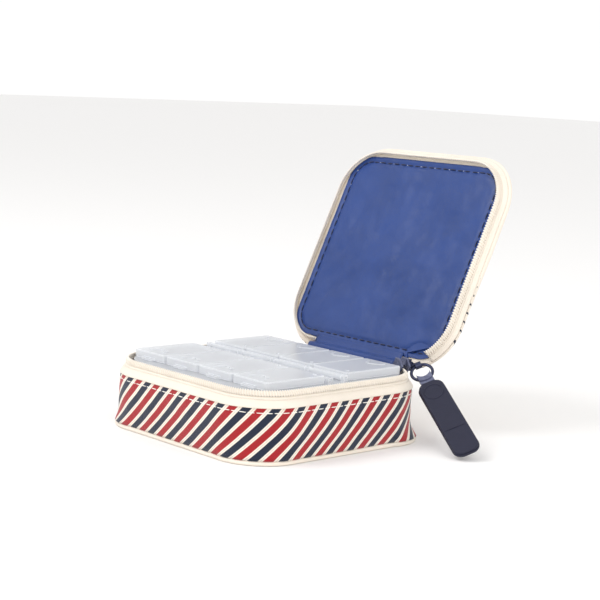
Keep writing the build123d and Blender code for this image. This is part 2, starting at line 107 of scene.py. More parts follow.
def walk(distance, flat_x, flat_y, corner):
    """Point and outward direction, counter-clockwise from the hinge side's middle."""
    half_x, half_y, quarter = flat_x + corner, flat_y + corner, corner * math.pi / 2
    distance %= 4 * (flat_x + flat_y + quarter)
    sides = (
        (flat_x, (0, half_y), (-1, 0)),
        (quarter, (-flat_x, flat_y), 90),
        (2 * flat_y, (-half_x, flat_y), (0, -1)),
        (quarter, (-flat_x, -flat_y), 180),
        (2 * flat_x, (-flat_x, -half_y), (1, 0)),
        (quarter, (flat_x, -flat_y), 270),
        (2 * flat_y, (half_x, -flat_y), (0, 1)),
        (quarter, (flat_x, flat_y), 0),
        (flat_x, (flat_x, half_y), (-1, 0)),
    )
    for length, start, way in sides:
        if distance > length + 1e-9:
            distance -= length
            continue
        if isinstance(way, tuple):
            point = Vector((start[0] + way[0] * distance, start[1] + way[1] * distance, 0))
            return point, Vector((way[1], -way[0], 0))
        angle = math.radians(way) + distance / corner
        out = Vector((math.cos(angle), math.sin(angle), 0))
        return Vector((*start, 0)) + out * corner, out
    return Vector((0, half_y, 0)), Vector((0, 1, 0))


def outline(distance):
    """A place on the outside of the case itself."""
    return walk(distance, FLAT_X, FLAT_Y, CORNER)


def unit(value):
    """The value, kept between 0 and 1."""
    return min(1.0, max(0.0, value))


def cloud(*place):
    """Smooth noise at a place."""
    return noise.noise(Vector(place))


def circle(sides):
    """Cosine and sine at even steps round a circle."""
    angles = [2 * math.pi * k / sides for k in range(sides)]
    return [(math.cos(angle), math.sin(angle)) for angle in angles]


print("once round the case:", round(AROUND / MM, 1), "mm")

# %% [markdown]
# `add_piece` turns points and faces into an object. Each face corner can
# carry a place on the flat cloth, in metres, which later steers stripes and
# ribs. `band` sweeps a small cross-section round the outline. It makes walls,
# tapes and bindings alike, and it leaves the hinge side open if asked.

# %% Build a mesh piece


def add_piece(name, points, faces, cloth=None, place=None, turn_out=True):
    mesh = bpy.data.meshes.new(name)
    mesh.from_pydata([tuple(p) for p in points], [], faces)
    if cloth:
        layer = mesh.uv_layers.new(name="cloth")
        for corner, spot in enumerate(cloth):
            layer.data[corner].uv = spot
    for face in mesh.polygons:
        face.use_smooth = True
    if place:
        mesh.transform(place)
    mesh.update()
    piece = bpy.data.objects.new(name, mesh)
    bpy.context.collection.objects.link(piece)
    if turn_out:
        flip_inside_out(piece)
    return piece


def tube_faces(first, rings, sides):
    """Faces of a closed tube whose rings of points follow one another."""
    faces = []
    for ring in range(rings - 1):
        for k in range(sides):
            a = first + ring * sides + k
            b = first + ring * sides + (k + 1) % sides
            faces.append((a, b, b + sides, a + sides))
    last = first + (rings - 1) * sides
    faces.append(tuple(reversed(range(first, first + sides))))
    faces.append(tuple(range(last, last + sides)))
    return faces


def band(name, section, first=0.0, last=None, step=1.5 * MM, stir=None, place=None):
    """section is a closed list of (inset, height). stir moves a point in or out."""
    closed = last is None
    length = AROUND if closed else last - first
    columns = round(length / step)
    rows = len(section)
    travel = [0.0]
    for a, b in zip(section, section[1:] + section[:1]):
        travel.append(travel[-1] + math.dist(a, b))
    points, faces, cloth = [], [], []
    for i in range(columns if closed else columns + 1):
        s = first + length * i / columns
        spot, out = outline(s)
        for j, (inset, height) in enumerate(section):
            swell, rise = stir(s, inset, height) if stir else (0, 0)
            points.append(spot - out * (inset - swell) + Vector((0, 0, height + rise)))
    for i in range(columns):
        after = (i + 1) % columns if closed else i + 1
        u0, u1 = (first + length * k / columns for k in (i, i + 1))
        for j in range(rows):
            k = (j + 1) % rows
            faces.append((i * rows + j, after * rows + j, after * rows + k, i * rows + k))
            v0, v1 = travel[j], travel[j + 1]
            cloth += [(u0, v0), (u1, v0), (u1, v1), (u0, v1)]
    if not closed:
        end = columns * rows
        faces += [tuple(range(rows)), tuple(range(end + rows - 1, end - 1, -1))]
        for u in (first, first + length):
            cloth += [(u, v) for v in travel[:rows]]
    return add_piece(name, points, faces, cloth, place)


def flip_inside_out(piece):
    """Turns the faces outward, whichever way the section was listed."""
    work = bmesh.new()
    work.from_mesh(piece.data)
    bmesh.ops.recalc_face_normals(work, faces=work.faces)
    work.to_mesh(piece.data)
    work.free()


def thicken(piece, label, thickness, offset):
    shell = piece.modifiers.new(label, "SOLIDIFY")
    shell.thickness, shell.offset = thickness, offset


def dress(piece, body, finish, slot, *nodes):
    """Gives a piece its body and finish, and hides the nodes it stands for. The slot is not used.
    """
    piece.data.materials.clear()
    piece.data.materials.append(finish)
    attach(piece, body)
    if nodes:
        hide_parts(*nodes)
    print(piece.name, len(piece.data.polygons), "faces")
    return piece


# %% [markdown]
# Stitches are small beads of thread pressed into the cloth. As real geometry
# they catch light and cast a tiny shadow, which a painted dash never does.
# All the stitches of one seam share a mesh, because nobody moves one alone.

# %% Sew a row of stitches
BEAD = ((-1, 0.35), (-0.75, 0.9), (0, 1.0), (0.75, 0.9), (1, 0.35))  # place, thickness


def stitch_row(name, places, half_length, radius, place=None):
    """places is a list of (centre, way, out): thread lies along way, proud along out."""
    sides = 6
    points, faces = [], []
    for centre, way, out in places:
        across = way.cross(out)
        base = len(points)
        for along, swell in BEAD:
            middle = centre + way * (along * half_length) + out * radius * (0.5 - 0.6 * along**2)
            for cos, sin in circle(sides):
                points.append(middle + (across * cos + out * sin) * radius * swell)
        faces += tube_faces(base, len(BEAD), sides)
    return add_piece(name, points, faces, place=place)


# %% [markdown]
# ## Finishes
#
# Three small node groups hold the effects that several finishes share. A group
# only puts out masks and heights. Each material mixes its own colours with
# them and keeps its own shader, so the same weave can be coarse on canvas and
# fine on nylon.

# %% Helpers for nodes


def new_group(name, inputs, outputs):
    group = bpy.data.node_groups.new(name, "ShaderNodeTree")
    for label, kind, value in inputs:
        socket = group.interface.new_socket(label, in_out="INPUT", socket_type=kind)
        if value is not None:
            socket.default_value = value
    for label in outputs:
        group.interface.new_socket(label, in_out="OUTPUT", socket_type="NodeSocketFloat")
    return group, group.nodes.new("NodeGroupInput"), group.nodes.new("NodeGroupOutput")


def link(output, socket):
    socket.id_data.links.new(output, socket)


def add_node(tree, kind, **values):
    """Adds a node. A key that is a socket's name sets it, any other sets a property."""
    node = tree.nodes.new("ShaderNode" + kind)
    for key, value in values.items():
        label = key.replace("_", " ")
        if label in node.inputs:
            node.inputs[label].default_value = value
        else:
            setattr(node, key, value)
    return node


def math_node(tree, operation, first, second=None, third=None):
    node = add_node(tree, "Math", operation=operation)
    for socket, value in zip(node.inputs, (first, second, third)):
        if value is None:
            continue
        if isinstance(value, (int, float)):
            socket.default_value = value
        else:
            link(value, socket)
    return node.outputs[0]


# %% [markdown]
# **Weave.** Plain-woven cloth is threads over and under each other. Two sine
# waves across each other give a height that goes up and down like that. The
# group takes a place on the cloth in metres and the thread spacing.

# %% Weave group
VECTOR, NUMBER = "NodeSocketVector", "NodeSocketFloat"


def make_weave():
    group, given, result = new_group(
        "plain weave", [("Place", VECTOR, None), ("Thread", NUMBER, 0.0005)], ["Height"]
    )
    split = add_node(group, "SeparateXYZ")
    link(given.outputs["Place"], split.inputs[0])
    turns = math_node(group, "DIVIDE", math.pi, given.outputs["Thread"])
    waves = []
    for axis in range(2):
        along = math_node(group, "MULTIPLY", split.outputs[axis], turns)
        waves.append(math_node(group, "SINE", along))
    woven = math_node(group, "MULTIPLY", *waves)
    link(math_node(group, "MULTIPLY_ADD", woven, 0.5, 0.5), result.inputs[0])
    return group


weave = make_weave()

# %% [markdown]
# **Mottle.** No dyed cloth or moulding is one even colour. Two sizes of noise
# give a slow value between 0 and 1 for colour and roughness, and a fine one
# for grain.

# %% Mottle group


def make_mottle():
    group, given, result = new_group(
        "mottle", [("Place", VECTOR, None), ("Size", NUMBER, 0.02)], ["Slow", "Fine"]
    )
    scale = math_node(group, "DIVIDE", 1.0, given.outputs["Size"])
    for index, factor in enumerate((1.0, 14.0)):
        cloud = add_node(group, "TexNoise", Detail=3.0, Roughness=0.55)
        link(given.outputs["Place"], cloud.inputs["Vector"])
        link(math_node(group, "MULTIPLY", scale, factor), cloud.inputs["Scale"])
        spread = add_node(group, "MapRange", From_Min=0.3, From_Max=0.7)
        link(cloud.outputs["Fac"], spread.inputs["Value"])
        link(spread.outputs["Result"], result.inputs[index])
    return group


mottle = make_mottle()

# %% [markdown]
# **Stripe.** A stripe is a test of where a point falls within one repeat.
# The group takes a phase that grows by one each repeat, a start and a width,
# and gives a mask with soft edges, like ink that has bled into thread.

# %% Stripe group


def make_stripe():
    group, given, result = new_group(
        "printed stripe",
        [
            ("Phase", NUMBER, 0), ("Middle", NUMBER, 0.5),
            ("Width", NUMBER, 0.3), ("Bleed", NUMBER, 0.02),
        ],
        ["Mask"],
    )
    shifted = math_node(group, "SUBTRACT", given.outputs["Phase"], given.outputs["Middle"])
    centred = math_node(group, "WRAP", shifted, 0.5, -0.5)
    away = math_node(group, "ABSOLUTE", centred)
    half = math_node(group, "MULTIPLY", given.outputs["Width"], 0.5)
    edge = math_node(group, "SUBTRACT", half, away)
    soft = math_node(group, "DIVIDE", edge, given.outputs["Bleed"])
    mask = add_node(group, "Clamp")
    link(math_node(group, "ADD", soft, 0.5), mask.inputs[0])
    link(mask.outputs[0], result.inputs[0])
    return group


stripe = make_stripe()

# %% [markdown]
# Each material starts the same way: a Principled shader and two places to
# measure from, one in the solid and one on the flat cloth. `Finish` makes
# those, and its methods wire up the colour, the roughness and the bump.

# %% Start a material


class Finish:
    """A material under construction: its tree, shader and places to measure from."""

    def __init__(self, name, roughness, **values):
        self.material = bpy.data.materials.new(name)
        self.material.use_nodes = True
        self.tree = self.material.node_tree
        self.shader = self.tree.nodes["Principled BSDF"]
        self.shader.inputs["Roughness"].default_value = roughness
        for key, value in values.items():
            self.shader.inputs[key.replace("_", " ")].default_value = value
        self.solid = add_node(self.tree, "TexCoord").outputs["Object"]
        self.cloth = add_node(self.tree, "UVMap", uv_map="cloth").outputs["UV"]

    def group(self, group, place=None, **values):
        node = self.tree.nodes.new("ShaderNodeGroup")
        node.node_tree = group
        if place is not None:
            link(place, node.inputs["Place"])
        for key, value in values.items():
            node.inputs[key].default_value = value
        return node

    def mix(self, mask, below, above):
        """Colour below, with colour above where the mask is 1."""
        node = self.tree.nodes.new("ShaderNodeMix")
        node.data_type = "RGBA"
        for socket, value in ((0, mask), (6, below), (7, above)):
            if isinstance(value, (tuple, float, int)):
                node.inputs[socket].default_value = value
            else:
                link(value, node.inputs[socket])
        return node.outputs[2]

    def shade(self, colour, slow, amount=0.12):
        """The colour, darkened a little where the slow noise is low."""
        node = self.tree.nodes.new("ShaderNodeHueSaturation")
        value = math_node(self.tree, "MULTIPLY_ADD", slow, amount, 1 - amount / 2)
        link(value, node.inputs["Value"])
        if isinstance(colour, tuple):
            node.inputs["Color"].default_value = colour
        else:
            link(colour, node.inputs["Color"])
        link(node.outputs[0], self.shader.inputs["Base Color"])

    def vary_roughness(self, slow, low, high):
        node = add_node(self.tree, "MapRange", To_Min=low, To_Max=high)
        link(slow, node.inputs["Value"])
        link(node.outputs["Result"], self.shader.inputs["Roughness"])

    def bump(self, *heights):
        """heights are (output, depth in metres), one on top of another."""
        normal = None
        for height, depth in heights:
            node = add_node(self.tree, "Bump", Strength=1.0, Distance=depth)
            link(height, node.inputs["Height"])
            if normal is not None:
                link(normal, node.inputs["Normal"])
            normal = node.outputs[0]
        link(normal, self.shader.inputs["Normal"])


def linear(red, green, blue):
    """A display colour, 0 to 255, as the light values that shaders use."""
    light = []
    for value in (red, green, blue):
        share = value / 255
        light.append(share / 12.92 if share <= 0.04045 else ((share + 0.055) / 1.055) ** 2.4)
    return (*light, 1.0)


CREAM = linear(243, 233, 219)
RED = linear(166, 12, 24)
NAVY = linear(12, 28, 54)
BLUE = linear(20, 58, 126)
GREY_THREAD = linear(190, 182, 176)

# %% [markdown]
# **Striped cloth.** Red and navy diagonals on cream, with a hair-thin grey
# line in each cream gap. The stripes are printed, so they're a function of
# the place on the cloth: distance along the wall less most of the height, and
# they bend a little near the foot. A stripe that repeats a whole number of
# times round the case has no break at its seam.

# %% Striped cloth
REPEAT = AROUND / round(AROUND / (12.5 * MM))
STRIPE_SLOPE, STRIPE_BEND = 0.84, 0.16
STRIPES = (
    (0.15, 0.335, RED), (0.65, 0.335, NAVY),
    (0.40, 0.014, GREY_THREAD), (0.90, 0.014, GREY_THREAD),
)  # middle, width, ink


def start_cotton(name):
    return Finish(name, 0.8, Sheen_Weight=0.25, Sheen_Roughness=0.5)


def end_cotton(finish, colour, contrast):
    """The weave, the uneven dye and the roughness that both cottons share."""
    threads = finish.group(weave, finish.cloth, Thread=0.00045)
    cloudy = finish.group(mottle, finish.solid, Size=0.012)
    finish.shade(colour, cloudy.outputs["Fine"], contrast)
    finish.vary_roughness(cloudy.outputs["Slow"], 0.72, 0.88)
    finish.bump((threads.outputs[0], 0.00009), (cloudy.outputs["Fine"], 0.00008))
    return finish.material


def striped_cloth():
    finish = start_cotton("striped cotton")
    tree = finish.tree
    split = add_node(tree, "SeparateXYZ")
    link(finish.cloth, split.inputs[0])
    along, up = split.outputs[0], split.outputs[1]
    height = WALL_TOP - WALL_FOOT
    drop = math_node(tree, "SUBTRACT", height, up)
    lean = math_node(tree, "MULTIPLY", math_node(tree, "POWER", drop, 2.0), STRIPE_BEND / height)
    shift = math_node(tree, "SUBTRACT", math_node(tree, "MULTIPLY", up, STRIPE_SLOPE), lean)
    noise_shift = finish.group(mottle, finish.solid, Size=0.03)
    wander = math_node(tree, "MULTIPLY", noise_shift.outputs["Slow"], 0.0006)
    place = math_node(tree, "ADD", math_node(tree, "SUBTRACT", along, shift), wander)
    phase = math_node(tree, "DIVIDE", place, REPEAT)
    colour = CREAM
    for middle, width, ink in STRIPES:
        mask = finish.group(stripe, Middle=middle, Width=width, Bleed=0.02)
        link(phase, mask.inputs["Phase"])
        colour = finish.mix(mask.outputs[0], colour, ink)
    return end_cotton(finish, colour, 0.14)


STRIPED = striped_cloth()

# %% [markdown]
# **Pinstriped cloth.** The lid's outside shows only at its edge: cream, with
# slim navy diagonals. It reuses the stripe group with a finer repeat.

# %% Pinstriped cloth
PIN_REPEAT = 3.8 * MM


def pinstriped_cloth():
    finish = start_cotton("pinstriped cotton")
    tree = finish.tree
    split = add_node(tree, "SeparateXYZ")
    link(finish.cloth, split.inputs[0])
    slant = math_node(tree, "MULTIPLY", split.outputs[1], 0.9)
    phase = math_node(
        tree, "DIVIDE", math_node(tree, "ADD", split.outputs[0], slant), PIN_REPEAT
    )
    mask = finish.group(stripe, Middle=0.5, Width=0.2, Bleed=0.05)
    link(phase, mask.inputs["Phase"])
    return end_cotton(finish, finish.mix(mask.outputs[0], CREAM, NAVY), 0.12)


PINSTRIPED = pinstriped_cloth()

# %% [markdown]
# **Nylon lining, cream tape, thread, coil and board.** These share one recipe
# with other values: a colour, a thread spacing, how shiny, and how deep the
# weave is. Nylon is finer and glossier than cotton, and its sheen is stronger.

# %% Plain fabrics


def plain_cloth(name, colour, thread, depth, rough, sheen, clouds=0.1, folds=0.0):
    finish = Finish(name, rough[0], Sheen_Weight=sheen, Sheen_Roughness=0.4)
    threads = finish.group(weave, finish.cloth, Thread=thread)
    cloudy = finish.group(mottle, finish.solid, Size=0.02)
    finish.shade(colour, cloudy.outputs["Slow"], clouds)
    finish.vary_roughness(cloudy.outputs["Slow"], *rough)
    heights = [(threads.outputs[0], depth), (cloudy.outputs["Fine"], depth * 0.7)]
    if folds:
        creased = finish.group(mottle, finish.solid, Size=0.035)
        heights.append((creased.outputs["Slow"], folds))
    finish.bump(*heights)
    return finish.material


LINING = plain_cloth("blue nylon", BLUE, 0.0003, 0.00003, (0.3, 0.45), 0.08, 0.2, 0.0009)
TAPE = plain_cloth("cream zip tape", CREAM, 0.0006, 0.00012, (0.75, 0.88), 0.3, 0.08)
THREAD = plain_cloth("cream thread", linear(250, 246, 238), 0.0002, 0.00003, (0.6, 0.7), 0.2)
DARK_THREAD = plain_cloth("navy thread", linear(12, 20, 58), 0.0002, 0.00003, (0.5, 0.6), 0.2)
COIL = plain_cloth("nylon coil", linear(246, 238, 226), 0.0004, 0.00002, (0.32, 0.45), 0.0)
BOARD = plain_cloth("stiffener board", linear(200, 190, 170), 0.0008, 0.00003, (0.85, 0.95), 0.0)

# %% [markdown]
# **Frosted plastic, enamelled metal and rubber.** The tray is milky rather
# than clear: some light scatters through it and some passes straight. It is
# more solid where it's seen edge on and where its own edges turn. The zip
# hardware is enamel over metal, worn a little paler, and the pull tab is
# matt rubber with a fine grain.

# %% Hard finishes


def frosted_plastic():
    finish = Finish(
        "frosted plastic", 0.2, Specular_IOR_Level=0.5, Coat_Weight=0.3, Coat_Roughness=0.06,
    )
    tree = finish.tree
    cloudy = finish.group(mottle, finish.solid, Size=0.02)
    finish.shade(linear(250, 252, 255), cloudy.outputs["Slow"], 0.03)
    finish.vary_roughness(cloudy.outputs["Slow"], 0.14, 0.24)
    finish.bump((cloudy.outputs["Slow"], 0.00001))
    glow = add_node(tree, "BsdfTranslucent", Color=(0.98, 0.985, 1.0, 1.0))
    clear = add_node(tree, "BsdfTransparent", Color=(0.99, 0.995, 1.0, 1.0))
    facing = add_node(tree, "LayerWeight", Blend=0.35)
    milky, frosted = add_node(tree, "MixShader", Fac=0.35), add_node(tree, "MixShader")
    rounded, true = add_node(tree, "Bevel", Radius=0.0009), add_node(tree, "NewGeometry")
    agree = add_node(tree, "VectorMath", operation="DOT_PRODUCT")
    link(rounded.outputs[0], agree.inputs[0])
    link(true.outputs["Normal"], agree.inputs[1])
    turned = math_node(tree, "SUBTRACT", 1.0, agree.outputs["Value"])
    edge = math_node(tree, "MULTIPLY", turned, 5.0)
    plain = math_node(tree, "MULTIPLY_ADD", facing.outputs["Facing"], -0.15, 0.4)
    share = math_node(tree, "MAXIMUM", math_node(tree, "SUBTRACT", plain, edge), 0.1)
    link(finish.shader.outputs[0], milky.inputs[1])
    link(glow.outputs[0], milky.inputs[2])
    link(share, frosted.inputs[0])
    link(milky.outputs[0], frosted.inputs[1])
    link(clear.outputs[0], frosted.inputs[2])
    surface = tree.nodes["Material Output"].inputs["Surface"]
    link(frosted.outputs[0], surface)
    return finish.material


def enamel(name, metallic, dark, pale, roughest):
    finish = Finish(name, 0.35, Metallic=metallic, Coat_Weight=0.3, Coat_Roughness=0.2)
    cloudy = finish.group(mottle, finish.solid, Size=0.003)
    worn = finish.mix(cloudy.outputs["Slow"], dark, pale)
    finish.shade(worn, cloudy.outputs["Fine"], 0.1)
    finish.vary_roughness(cloudy.outputs["Fine"], 0.28, roughest)
    finish.bump((cloudy.outputs["Fine"], 0.00001))
    return finish.material


def rubber():
    finish = Finish("navy rubber", 0.55, Specular_IOR_Level=0.4)
    cloudy = finish.group(mottle, finish.solid, Size=0.004)
    finish.shade(linear(26, 28, 52), cloudy.outputs["Slow"], 0.12)
    finish.vary_roughness(cloudy.outputs["Fine"], 0.48, 0.62)
    finish.bump((cloudy.outputs["Fine"], 0.00003))
    return finish.material


FROSTED = frosted_plastic()
ENAMEL = enamel("navy enamel", 0.7, linear(30, 34, 62), linear(62, 68, 98), 0.45)
RUBBER = rubber()
SLIDER_ENAMEL = enamel(
    "grey navy enamel", 0.5, linear(84, 88, 116), linear(118, 122, 148), 0.42
)

# %% [markdown]
# ## The base
#
# The striped wall is cloth over thin foam, so it is never quite flat. It
# pulls in at the stitched top edge and at the bottom binding, swells between
# them, and ripples a little along its length. The cross-section gives the
# swell, and a smooth noise gives the ripple.

# %% Striped wall
WALL = WALL_TOP - WALL_FOOT


def ripple(s, size, seed):
    """Smooth noise that joins up after one trip round the case."""
    angle = 2 * math.pi * s / AROUND
    reach = AROUND / (2 * math.pi * size)
    return cloud(math.cos(angle) * reach, math.sin(angle) * reach, seed)


def cornering(s):
    """0 on the flat sides, most at the corners, where the cloth is slackest by the slider."""
    out = outline(s)[1]
    slack = 1.0 if out.x > 0 and out.y > 0 else 0.45
    return slack * (2 * abs(out.x * out.y)) ** 0.7


def wall_stir(s, inset, height):
    share = (height - WALL_FOOT) / WALL
    outer = 1.0 if inset < 0.6 * MM else 0.0
    slow, fine = ripple(s, 22 * MM, 3 + share), ripple(s, 6 * MM, 9 + 3 * share)
    pucker = ripple(s, 2.5 * MM, 20) * max(0, 1 - abs(share - 0.9) / 0.12)
    middle = math.sin(math.pi * unit(share))
    foot = max(0, 1 - share / 0.35) ** 2
    swell = middle * (0.4 * slow + 0.2 * fine) + 0.25 * pucker
    swell += foot * (0.3 + 0.7 * slow + 2.6 * cornering(s)) - 0.9 * middle * cornering(s)
    return outer * swell * MM, 0


def wall_section():
    outer = []
    rows = 14
    for k in range(rows + 1):
        share = k / rows
        swell = 0.45 * math.sin(math.pi * share) - 0.35 * max(0, share - 0.86) / 0.14
        outer.append((-swell * MM, WALL_FOOT + WALL * share))
    inner = [(1.25 * MM, WALL_TOP), (1.25 * MM, WALL_FOOT)]
    return outer + inner


wall = band("striped_wall", wall_section(), stir=wall_stir)
dress(wall, "base", STRIPED, "striped_cloth", "base_wall")

# %% [markdown]
# A line of cream topstitching runs two millimetres under the tape. Walking
# the outline at a steady pace gives even stitches, and a slight tilt of each
# one keeps them from looking printed.

# %% Topstitching on the wall
TOP_SEAM = WALL_TOP - 2.1 * MM
SEAM_PITCH, SEAM_STITCH, SEAM_THREAD = 3.7 * MM, 1.5 * MM, 0.2 * MM


def seam_places(pitch, inset, height, tilt=0.06):
    count = round(AROUND / pitch)
    places = []
    for i in range(count):
        s = (i + 0.5) * AROUND / count
        spot, out = outline(s)
        way = out.cross(-UP)
        way = (way + Vector((0, 0, tilt * ripple(s, 2 * MM, 5)))).normalized()
        swell = wall_stir(s, 0, height)[0]
        places.append((spot - out * (inset - swell) + Vector((0, 0, height)), way, out))
    return places


wall_stitches = stitch_row(
    "wall_topstitch", seam_places(SEAM_PITCH, -0.02 * MM, TOP_SEAM),
    SEAM_STITCH, SEAM_THREAD,
)
dress(wall_stitches, "base", THREAD, "cream_tape")

# %% [markdown]
# The zip tape is a flat woven ribbon. It folds over the top of the wall,
# leans in, dips in a shallow groove and ends under the coil. The lid has the
# same tape upside down, so one cross-section serves both, mirrored.

# %% Zip tapes
TAPE_HEAD_INSET = COIL_INSET - 0.7 * MM
TAPE_HEAD = COIL_Z - 1.7 * MM
TAPE_SKIN = 0.5 * MM


def tape_section(low_inset, low, high_inset, high):
    """A ribbon from the wall to the coil: a rounded fold, a groove and a ridge."""
    course = (
        (0, 0, -0.25), (0.04, 0.04, 0.2), (0.14, 0.14, 0.42), (0.4, 0.4, 0.45), (0.6, 0.6, 0.3),
        (0.66, 0.66, -0.2), (0.72, 0.72, -0.2), (0.78, 0.78, 0.25), (0.9, 0.9, 0.3), (1, 1, -0.1),
    )
    outer, inner = [], []
    for across, up, proud in course:
        inset = low_inset + (high_inset - low_inset) * across
        height = low + (high - low) * up
        outer.append((inset - proud * MM, height))
        inner.append((inset + TAPE_SKIN, height))
    return outer + inner[::-1]


def tape_stir(s, inset, height):
    return 0.16 * ripple(s, 9 * MM, 40 + height * 300) * MM, 0.1 * ripple(s, 14 * MM, 60) * MM


# %% [markdown]
# A nylon zip is one long spring of monofilament sewn along each tape. The
# coil is a tube whose centre winds round the zip's line, so its turns are
# real geometry. The pitch is coarse enough to read and fine enough to look
# like a zip.

# %% Zip coils
COIL_PITCH = 1.3 * MM
WIRE = 0.33 * MM
LEAN_IN, LEAN_UP = 0.43, 0.9
COIL_SINK = 0.5 * MM
COIL_HALF_WIDE, COIL_HALF_DEEP = 1.5 * MM, 0.75 * MM


def zip_coil(name, first, last, height, up, place=None):
    """up is 1 where the coil is at the top of its tape and -1 where it's below."""
    per_turn, sides = 10, 5
    turns = round((last - first) / COIL_PITCH)
    lean = Vector((LEAN_IN, LEAN_UP)).normalized()
    wide, deep = COIL_HALF_WIDE - WIRE, COIL_HALF_DEEP - WIRE
    centres, spokes = [], []
    for i in range(turns * per_turn + 1):
        s = first + (last - first) * i / (turns * per_turn)
        angle = 2 * math.pi * i / per_turn
        spot, out = outline(s)
        slope = -out * lean.x + Vector((0, 0, up * lean.y))
        face = out * lean.y + Vector((0, 0, up * lean.x))
        middle = spot - out * (COIL_INSET - COIL_SINK) + Vector((0, 0, height - up * COIL_SINK))
        spoke = slope * math.cos(angle) * wide + face * math.sin(angle) * deep
        centres.append(middle + spoke)
        spokes.append(spoke.normalized())
    points = []
    for i, centre in enumerate(centres):
        ahead = centres[min(i + 1, len(centres) - 1)] - centres[max(i - 1, 0)]
        side = ahead.normalized().cross(spokes[i]).normalized()
        for cos, sin in circle(sides):
            points.append(centre + (spokes[i] * cos + side * sin) * WIRE)
    return add_piece(name, points, tube_faces(0, len(centres), sides), place=place)


def coil_cord(name, first, last, height, up, place=None):
    """The sewn cord inside the coil, which closes the gaps between its turns."""
    section = []
    for cos, sin in circle(12):
        along, across = 1.0 * MM * cos, 0.25 * MM * sin
        inset = COIL_INSET - COIL_SINK + LEAN_IN * along - LEAN_UP * across
        rise = LEAN_UP * along + LEAN_IN * across - COIL_SINK
        section.append((inset, height + up * rise))
    return band(name, section, first, last, place=place)


def zip_side(body, section, last, height, up, place=None):
    """The tape, coil and cord of the base or of the lid."""
    tape = band(body + "_tape", section, ZIP_END, last, stir=tape_stir, place=place)
    dress(tape, body, TAPE, "cream_tape", body + "_zip_tape")
    coil = zip_coil(body + "_coil", ZIP_END, last, height, up, place)
    dress(coil, body, COIL, "coil", body + "_zip_coil")
    cord = coil_cord(body + "_coil_cord", ZIP_END, last, height, up, place)
    dress(cord, body, TAPE, "cream_tape")


base_section = tape_section(0, WALL_TOP - 0.2 * MM, TAPE_HEAD_INSET, TAPE_HEAD)
zip_side("base", base_section, AROUND - ZIP_END, COIL_Z, 1)

# %% [markdown]
# The bottom edge is bound with cream cord-filled piping, which the case
# stands on, and the bottom panel is the same striped cloth. The binding
# follows its CAD bead and bulges out a little, most at the corners.

# %% Bottom panel and binding
pipe_low, pipe_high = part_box("base_piping")
PIPE = (pipe_high[2] - pipe_low[2]) / 2
PIPE_INSET = HALF_X - pipe_high[0] + PIPE


def bead_section(inset, height, radius, sides=14):
    return [(inset + radius * cos, height + radius * sin) for cos, sin in circle(sides)]


def foot_stir(s, inset, height):
    return (0.1 * ripple(s, 5 * MM, 80) + 0.3 + 2.4 * cornering(s)) * MM, 0


bottom_binding = band(
    "bottom_binding", bead_section(PIPE_INSET, pipe_low[2] + PIPE, PIPE), stir=foot_stir
)
dress(bottom_binding, "base", TAPE, "cream_tape", "base_piping")


def panel(name, shape, rings, rise, place=None):
    """A crowned sheet: shape is (flat_x, flat_y, corner), rise(x, y) its height."""
    around = 4 * (shape[0] + shape[1]) + 2 * math.pi * shape[2]
    columns = round(around / (2.2 * MM))
    points, faces, cloth = [], [], []
    for r in range(rings):
        for i in range(columns):
            point = walk(around * i / columns, *shape)[0] * (1 - (r / rings) ** 1.3)
            point.z = rise(point.x, point.y)
            points.append(point)
    points.append(Vector((0, 0, rise(0, 0))))
    centre = len(points) - 1
    for r in range(rings):
        for i in range(columns):
            j = (i + 1) % columns
            a, b = r * columns + i, r * columns + j
            if r == rings - 1:
                corners = (a, b, centre)
            else:
                corners = (a, b, b + columns, a + columns)
            faces.append(corners)
            cloth += [(points[c].x, points[c].y) for c in corners]
    return add_piece(name, points, faces, cloth, place)


def inner_shape(inset, corner=None):
    """The case's outline moved in, with a corner of its own if that's tighter."""
    corner = corner or CORNER - inset
    return HALF_X - inset - corner, HALF_Y - inset - corner, corner


def nearest_edge(x, y, shape=None):
    """Distance in from the outline, or from another rounded square."""
    flat_x, flat_y, corner = shape or (FLAT_X, FLAT_Y, CORNER)
    dx, dy = abs(x) - flat_x, abs(y) - flat_y
    if dx > 0 and dy > 0:
        return corner - math.hypot(dx, dy)
    return corner - max(dx, dy)


BOTTOM_INSET = 1.9 * MM


def bottom_rise(x, y):
    edge = unit((nearest_edge(x, y) - BOTTOM_INSET) / (12 * MM))
    return 0.4 * MM + 0.3 * MM * edge


bottom = panel("bottom_cloth", inner_shape(BOTTOM_INSET), 26, bottom_rise)
thicken(bottom, "cloth thickness", 0.6 * MM, 0)
dress(bottom, "base", STRIPED, "striped_cloth", "bottom_panel")

# %% [markdown]
# ## The lid
#
# The lid is drawn shut and turned open. From inside to outside it is: the
# blue lining with its quilting stitches, a hidden board, the tape and coil, a
# cream binding, and a padded outer panel.

# %% Lid tape, coil and binding
LID_TAPE_TURN = math.radians(38)
LID_TAPE_END = AROUND - FLAT_X - CORNER * LID_TAPE_TURN
LID_TAPE_FOOT, LID_TAPE_HEAD = MATING + 5.0 * MM, MATING + 2.7 * MM
LID_COIL_Z = MATING + 1.0 * MM
RIM_RADIUS, RIM_INSET = 1.1 * MM, 1.0 * MM
RIM_Z = MATING + 5.1 * MM + 1.0 * MM
lid_section = tape_section(0.1 * MM, LID_TAPE_FOOT, TAPE_HEAD_INSET, LID_TAPE_HEAD)
zip_side("lid", lid_section, LID_TAPE_END, LID_COIL_Z, -1, open_lid)


def rim_stir(s, inset, height):
    free = unit((22 * MM - outline(s)[0].y) / (30 * MM))
    return (0.1 * ripple(s, 5 * MM, 80) + 1.0 * free) * MM, 0


